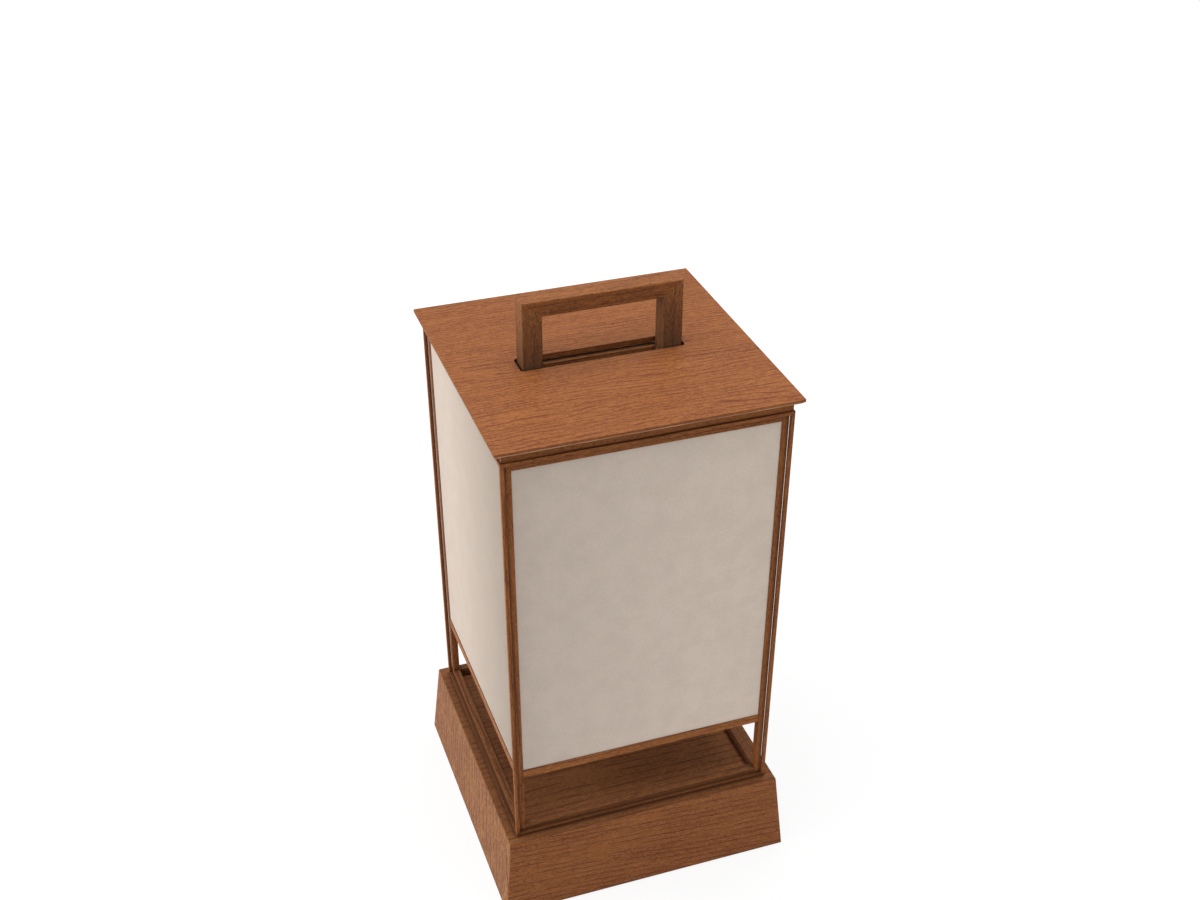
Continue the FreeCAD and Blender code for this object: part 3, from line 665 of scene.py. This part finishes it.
# %% [markdown]
# The fittings are moulded, cast, turned or cut from sheet. None of these surfaces is one flat
# colour: plastic has a fine spark texture, rubber blooms, metal dulls where hands and tools
# touched it. Each could have its own tree, but they differ only in size and tone, so one group
# gives a fine grain and slow clouds between any two tones.

# %% Shader group: fine surface
def make_fine_group():
    """A fine grain of a given size and slow clouds between two tones."""
    cloud_share = 0.9
    grain_share = 0.6
    first_tone_bias = 0.4
    inputs = [
        ("Vector", VECTOR, (0, 0, 0)),
        ("Tone", COLOR, (0.5, 0.5, 0.5, 1)),
        ("Second", COLOR, (0.3, 0.3, 0.3, 1)),
        ("Grains per Metre", FLOAT, 1500),
        ("Matt", FLOAT, 0.4),
        ("Matt Range", FLOAT, 0.2),
    ]
    group, start, end = new_group("fine surface", inputs, surface_outputs)
    given = start.outputs
    grain_sockets = {"Vector": given["Vector"], "Scale": given["Grains per Metre"], "Detail": 2}
    grain = add(group, "ShaderNodeTexNoise", grain_sockets).outputs[0]
    clouds = stretched_noise(group, given["Vector"], (90, 90, 90), detail=3)
    share = sum_of(group, clouds, cloud_share, grain, grain_share)
    share = maths(group, "SUBTRACT", share, first_tone_bias, clamp=True)
    shade = blend_colours(group, share, given["Tone"], given["Second"])
    matt = maths(group, "MULTIPLY_ADD", share, given["Matt Range"], given["Matt"])
    give(group, end, shade, matt, grain)
    return group


fine_group = make_fine_group()
print("fine surface group:", len(fine_group.nodes), "nodes")

# %% [markdown]
# Each fitting then needs only its two tones and a few sizes. The base cover is fibreboard with a
# coarse, dull grain, the feet are soft rubber, the lampholder is glazed ceramic and nearly as
# smooth as glass, and the bulb is frosted, so light scatters below its surface.

# %% Finishes of the fittings
fine_relief = 0.4
frost_scatter = 0.8
frost_depth = 2 * mm


def make_fine(name, tone, second, grains=1500, matt=0.4, spread=0.2,
              depth=0.05 * mm, metal=0, specular=0.5):
    """A moulded, cast or metal finish."""
    material, tree, shader, place = new_material(name)
    sockets = {"Vector": place, "Tone": tone, "Second": second, "Grains per Metre": grains}
    sockets.update({"Matt": matt, "Matt Range": spread})
    fine = add(tree, "ShaderNodeGroup", sockets, node_tree=fine_group)
    finish_surface(tree, shader, fine.outputs["Color"], fine, depth, fine_relief)
    shader.inputs["Metallic"].default_value = metal
    shader.inputs["Specular IOR Level"].default_value = specular
    return material


fibreboard = make_fine("fibreboard", colour(158, 124, 86), colour(116, 86, 56),
                       grains=900, matt=0.75, spread=0.15, depth=0.15 * mm, specular=0.3)
rubber = make_fine("foot_rubber", colour(30, 30, 30), colour(52, 51, 49),
                   grains=1200, matt=0.7, depth=0.1 * mm)
steel = make_fine("zinc_steel", colour(176, 178, 180), colour(128, 126, 122),
                  grains=2200, matt=0.28, spread=0.25, metal=1)
brass = make_fine("brass", colour(196, 160, 92), colour(150, 112, 58),
                  grains=2200, matt=0.25, spread=0.25, metal=1)
nickel = make_fine("nickel", colour(200, 198, 192), colour(160, 157, 150),
                   grains=2600, matt=0.22, metal=1)
glazed = make_fine("glazed_ceramic", colour(236, 233, 225), colour(220, 214, 203),
                   grains=700, matt=0.12, spread=0.12, depth=0.1 * mm)
black_plastic = make_fine("black_plastic", colour(28, 28, 29), colour(44, 44, 45),
                          grains=2000, matt=0.42, depth=0.08 * mm)
rocker_plastic = make_fine("rocker_plastic", colour(22, 22, 23), colour(36, 36, 37),
                           grains=2600, matt=0.3, depth=0.04 * mm)
lead_cover = make_fine("lead_cover", colour(206, 201, 190), colour(176, 170, 158), grains=1400)
frosted = make_fine("frosted_glass", colour(246, 244, 238), colour(234, 230, 221),
                    grains=3200, matt=0.3, spread=0.15, depth=0.02 * mm)
frosted_shader = frosted.node_tree.nodes["Principled BSDF"]
frosted_shader.inputs["Subsurface Weight"].default_value = frost_scatter
frosted_shader.inputs["Subsurface Scale"].default_value = frost_depth
fitting_finishes = {
    "base_cover": fibreboard,
    "rubber_feet": rubber,
    "lampholder": glazed,
    "lampholder_fixing": brass,
    "bulb_globe": frosted,
    "mains_inlet": black_plastic,
    "switch_housing": black_plastic,
    "switch_rocker": rocker_plastic,
    "internal_leads": lead_cover,
}
for node, finish in fitting_finishes.items():
    dress(node, finish)
print("fittings dressed:", len(fitting_finishes))

# %% [markdown]
# Three nodes are plainer than the real things: the bulb's cap has no thread, and two sets of
# screws have no recess for a driver. All of them are turned parts. They could be spun from a
# profile, but a circle that is drawn up step by step, as a turner works along a bar, needs no
# profile and closes itself at both ends. These helpers do that, and join and smooth the results.

# %% Helpers for turned pieces
round_sides = 48


def start_circle(radius, centre, sides=round_sides, fill="NGON"):
    """A new level circle, selected alone, in edit mode."""
    bpy.ops.object.select_all(action="DESELECT")
    bpy.ops.mesh.primitive_circle_add(vertices=sides, radius=radius, fill_type=fill, location=centre)
    piece = bpy.context.object
    bpy.ops.object.transform_apply(location=True, rotation=True, scale=True)
    bpy.ops.object.mode_set(mode="EDIT")
    bpy.ops.mesh.select_all(action="SELECT")
    return piece


def turned(name, centre, steps, sides=round_sides):
    """A solid turned about an upright axis: steps are (height, radius), from the bottom up."""
    first_rise, first_radius = steps[0]
    x, y, z = centre
    piece = start_circle(first_radius, (x, y, z + first_rise), sides)
    piece.name = name
    for (low, before), (high, after) in zip(steps, steps[1:]):
        bpy.ops.mesh.extrude_region_move(TRANSFORM_OT_translate={"value": (0, 0, high - low)})
        share = after / before
        bpy.ops.transform.resize(value=(share, share, 1), center_override=(x, y, z))
    bpy.ops.mesh.select_all(action="SELECT")
    bpy.ops.mesh.normals_make_consistent(inside=False)
    bpy.ops.object.mode_set(mode="OBJECT")
    return piece


def smooth_below(piece, degrees):
    """Smooth shading across edges flatter than the angle."""
    bpy.ops.object.select_all(action="DESELECT")
    piece.select_set(True)
    bpy.context.view_layer.objects.active = piece
    bpy.ops.object.shade_smooth_by_angle(angle=math.radians(degrees))


def apply_modifier(piece, modifier):
    """Applies one modifier of a piece."""
    bpy.context.view_layer.objects.active = piece
    bpy.ops.object.modifier_apply(modifier=modifier.name)


def joined(name, pieces):
    """Several pieces as one object."""
    bpy.ops.object.select_all(action="DESELECT")
    for piece in pieces:
        piece.select_set(True)
    bpy.context.view_layer.objects.active = pieces[0]
    bpy.ops.object.join()
    whole = bpy.context.object
    whole.name = name
    return whole


def wear(piece, material):
    """Gives a new piece its one material."""
    piece.data.materials.clear()
    piece.data.materials.append(material)


print("a turned piece has", round_sides, "sides")

# %% [markdown]
# The bulb's cap is a thin metal shell with a cone below it that ends in a contact. It could stay
# the plain solid, but its neck shows when the bulb is lifted out. Its core is turned in steps: the
# contact with a rounded foot, the cone, the wall that carries the thread, and the collar under the
# glass, as wide as the solid.

# %% Core of the bulb cap
cap_low, cap_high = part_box("bulb_cap")
cap_radius = (cap_high.x - cap_low.x) / 2
cap_height = cap_high.z - cap_low.z
thread_radius = 0.85 * mm
core_radius = cap_radius - thread_radius
contact_height = 2.2 * mm
contact_radius = 4.5 * mm
contact_tip = 0.8 * contact_radius
contact_round = 0.3 * contact_height
insulator_foot = 1.3 * contact_radius
insulator_rim = 0.84 * core_radius
insulator_top = contact_height + 2.6 * mm
shoulder = 1.2 * mm
collar_height = 1.8 * mm
cap_foot = (0, 0, cap_low.z)
cap_steps = [
    (0, contact_tip),
    (contact_round, contact_radius),
    (contact_height, contact_radius),
    (contact_height, insulator_foot),
    (insulator_top, insulator_rim),
    (insulator_top + shoulder, core_radius),
    (cap_height - collar_height - shoulder, core_radius),
    (cap_height - collar_height, cap_radius),
    (cap_height, cap_radius),
]
core = turned("bulb_screw_cap", cap_foot, cap_steps)
print("cap core turned in", len(cap_steps), "steps")

# %% [markdown]
# The thread is rolled into the shell as a round ridge. It could be a bump in the finish, but a
# ridge shows against the light. So a small upright circle is set on the core's wall and wound up
# round it with a Screw modifier. Its two open ends are closed before the pieces are joined.

# %% Thread of the bulb cap
thread_pitch = 3.6 * mm
thread_turns = 4
thread_sides = 10
thread_start = insulator_top + 2.4 * mm
cap_smoothing = 40
ridge = start_circle(thread_radius, (0, 0, 0), thread_sides, "NOTHING")
bpy.ops.transform.rotate(value=math.radians(90), orient_axis="X", center_override=(0, 0, 0))
bpy.ops.transform.translate(value=(core_radius, 0, cap_low.z + thread_start))
bpy.ops.object.mode_set(mode="OBJECT")
winding = ridge.modifiers.new("winding", "SCREW")
winding.axis = "Z"
winding.screw_offset = thread_pitch
winding.iterations = thread_turns
winding.steps = round_sides
winding.render_steps = round_sides
winding.use_merge_vertices = False
apply_modifier(ridge, winding)
bpy.ops.object.mode_set(mode="EDIT")
bpy.ops.mesh.select_all(action="DESELECT")
bpy.ops.mesh.select_non_manifold(extend=False)
bpy.ops.mesh.edge_face_add()
bpy.ops.mesh.select_all(action="SELECT")
bpy.ops.mesh.normals_make_consistent(inside=False)
bpy.ops.object.mode_set(mode="OBJECT")
screw_cap = joined("bulb_screw_cap", [core, ridge])
smooth_below(screw_cap, cap_smoothing)
wear(screw_cap, nickel)
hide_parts("bulb_cap")
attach(screw_cap, "bulb")
print("bulb cap with", thread_turns, "turns of thread")

# %% [markdown]
# Countersunk screws hold the base cover and the handle, and a driver's recess in their heads is a
# cross that narrows inwards. It could be modelled face by face, but cutting it is simpler and
# leaves a real hollow: two crossed bars with tapered ends are taken away from each turned head. The
# screws of one node stay together as one piece, as they are in the frame.

# %% Screws with a cross recess
screw_sides = 32
screw_smoothing = 35
recess_taper = 0.55


def cross_cutter(centre, reach, width, depth):
    """Two crossed bars, narrower at their inner end, that cut the driver's recess from below."""
    bars = []
    for length, breadth in ((reach, width), (width, reach)):
        bpy.ops.object.select_all(action="DESELECT")
        bpy.ops.mesh.primitive_cube_add(size=1, location=centre)
        bar = bpy.context.object
        bar.scale = (length, breadth, depth * 2)
        bpy.ops.object.transform_apply(location=True, rotation=True, scale=True)
        bpy.ops.object.mode_set(mode="EDIT")
        bpy.ops.mesh.select_all(action="DESELECT")
        bpy.ops.object.mode_set(mode="OBJECT")
        for corner in bar.data.vertices:
            corner.select = corner.co.z > centre[2]
        bpy.ops.object.mode_set(mode="EDIT")
        bpy.ops.transform.resize(value=(recess_taper, recess_taper, 1), center_override=centre)
        bpy.ops.object.mode_set(mode="OBJECT")
        bars.append(bar)
    return bars


def cross_screw(centre, head_radius, shank_radius, length):
    """A countersunk screw that points up from its head, with a cross recess and a tapered tip."""
    head_height = head_radius - shank_radius
    head_round = 0.15 * mm
    head_face = head_radius * 0.96
    tip_length = shank_radius * 2
    tip_radius = shank_radius * 0.12
    steps = [
        (0, head_face),
        (head_round, head_radius),
        (head_round * 2, head_radius),
        (head_height, shank_radius),
        (length - tip_length, shank_radius),
        (length, tip_radius),
    ]
    screw = turned("screw", centre, steps, screw_sides)
    reach = head_radius * 1.25
    width = head_radius * 0.3
    depth = head_radius * 0.45
    for cutter in cross_cutter(centre, reach, width, depth):
        cut = screw.modifiers.new("recess", "BOOLEAN")
        cut.operation = "DIFFERENCE"
        cut.object = cutter
        apply_modifier(screw, cut)
        bpy.data.objects.remove(cutter)
    return screw


def corner_places(node, inset):
    """The four points that lie inside a node's box by this inset."""
    low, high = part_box(node)
    across = (low.x + inset, high.x - inset)
    along = (low.y + inset, high.y - inset)
    return [(x, y) for x in across for y in along]


def cross_screws(name, node, head_radius, shank_radius, length):
    """All screws of one node as one piece that takes the node's place; gives their number."""
    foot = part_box(node)[0].z
    screws = []
    for x, y in corner_places(node, head_radius):
        screws.append(cross_screw((x, y, foot), head_radius, shank_radius, length))
    whole = joined(name, screws)
    smooth_below(whole, screw_smoothing)
    wear(whole, steel)
    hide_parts(node)
    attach(whole, "lamp")
    return len(screws)


cover_screws = cross_screws("cover_cross_screws", "base_cover_screws",
                            head_radius=3.4 * mm, shank_radius=1.6 * mm, length=18 * mm)
handle_screws = cross_screws("handle_cross_screws", "handle_screws",
                             head_radius=3.9 * mm, shank_radius=2 * mm, length=30 * mm)
print("screws:", cover_screws, "in the cover and", handle_screws, "in the handle")

# %% [markdown]
# The studio is a pale floor and a white world. The lights stay at a plain level, so that colours
# look as they are written, and the white behind the lamp comes from what the camera's rays see and
# not from more light on the lamp. So the world is full white to camera, glossy and transmission rays,
# and dimmer to the rays that light the lamp.

# %% White world
def background_rays(tree):
    """1 for the rays that should see the white background: camera, glossy and transmission rays."""
    path = add(tree, "ShaderNodeLightPath")
    seen = maths(tree, "MAXIMUM", path.outputs["Is Camera Ray"], path.outputs["Is Glossy Ray"])
    return maths(tree, "MAXIMUM", seen, path.outputs["Is Transmission Ray"])


ambient = 0.44
world = bpy.data.worlds.new("studio")
world.use_nodes = True
bpy.context.scene.world = world
sky = world.node_tree
sky_strength = maths(sky, "MAXIMUM", background_rays(sky), ambient)
sky.links.new(sky_strength, sky.nodes["Background"].inputs["Strength"])
sky.nodes["Background"].inputs["Color"].default_value = (1, 1, 1, 1)
print("world lights the lamp at", ambient, "of white")

# %% [markdown]
# The floor is matt and pale grey where light falls on it. To the camera most of its brightness is
# a glow, which leaves only a faint shadow round the foot. A plain floor far away gets less light
# from the studio's lights than the floor near the lamp, so the glow rises a little with distance,
# and the floor meets the white world without an edge. Seen from below it is clear, so that the
# lamp's underside can be looked at.

# %% Studio floor
floor_size = 60
floor_grey = (0.75, 0.75, 0.75, 1)
near_glow = 1.15
added_far_glow = 0.18
glow_rise_start = 0.45
glow_rise_end = 1.4
glow_part = 0.72


def make_floor_paint():
    """A matt grey with a glow for background rays, and clear from below."""
    paint, tree, shader, place = new_material("studio_floor")
    shader.inputs["Base Color"].default_value = floor_grey
    shader.inputs["Roughness"].default_value = 1
    shader.inputs["Specular IOR Level"].default_value = 0
    far_share = smooth_step(tree, vector_length(tree, place), glow_rise_start, glow_rise_end)
    strength = maths(tree, "MULTIPLY_ADD", far_share, added_far_glow, near_glow)
    glow = add(tree, "ShaderNodeEmission", {"Strength": strength})
    glow_share = maths(tree, "MULTIPLY", background_rays(tree), glow_part)
    lit = add(tree, "ShaderNodeMixShader", {0: glow_share, 1: shader.outputs[0], 2: glow.outputs[0]})
    clear = add(tree, "ShaderNodeBsdfTransparent")
    from_below = add(tree, "ShaderNodeNewGeometry").outputs["Backfacing"]
    seen = add(tree, "ShaderNodeMixShader", {0: from_below, 1: lit.outputs[0], 2: clear.outputs[0]})
    tree.links.new(seen.outputs[0], tree.nodes["Material Output"].inputs["Surface"])
    return paint


bpy.ops.mesh.primitive_plane_add(size=floor_size, location=(0, 0, 0))
floor = bpy.context.object
floor.name = "studio_floor"
floor.data.materials.append(make_floor_paint())
print("floor of", floor_size, "metres")

# %% [markdown]
# Two large soft boxes light the lamp: one nearly overhead, which makes the lid the brightest wood,
# and one low on the left, which makes the left paper brighter than the front. Small lights would
# do the same with hard shadows, and the photograph has none. The boxes themselves don't show.

# %% Soft boxes
def soft_box(name, azimuth, elevation, distance, size, power):
    """A large square light that faces the lamp's middle."""
    data = bpy.data.lights.new(name, "AREA")
    data.shape = "SQUARE"
    data.size = size
    data.energy = power
    box = bpy.data.objects.new(name, data)
    towards = direction(math.radians(azimuth), math.radians(elevation))
    box.location = camera_target + towards * distance
    box.rotation_euler = (-towards).to_track_quat("-Z", "Y").to_euler()
    box.visible_camera = False
    bpy.context.collection.objects.link(box)
    print(name, "of", power, "watts")


soft_box("top_box", azimuth=0, elevation=89, distance=2.2, size=2.4, power=40)
soft_box("left_box", azimuth=-95, elevation=14, distance=2.4, size=2.0, power=30)
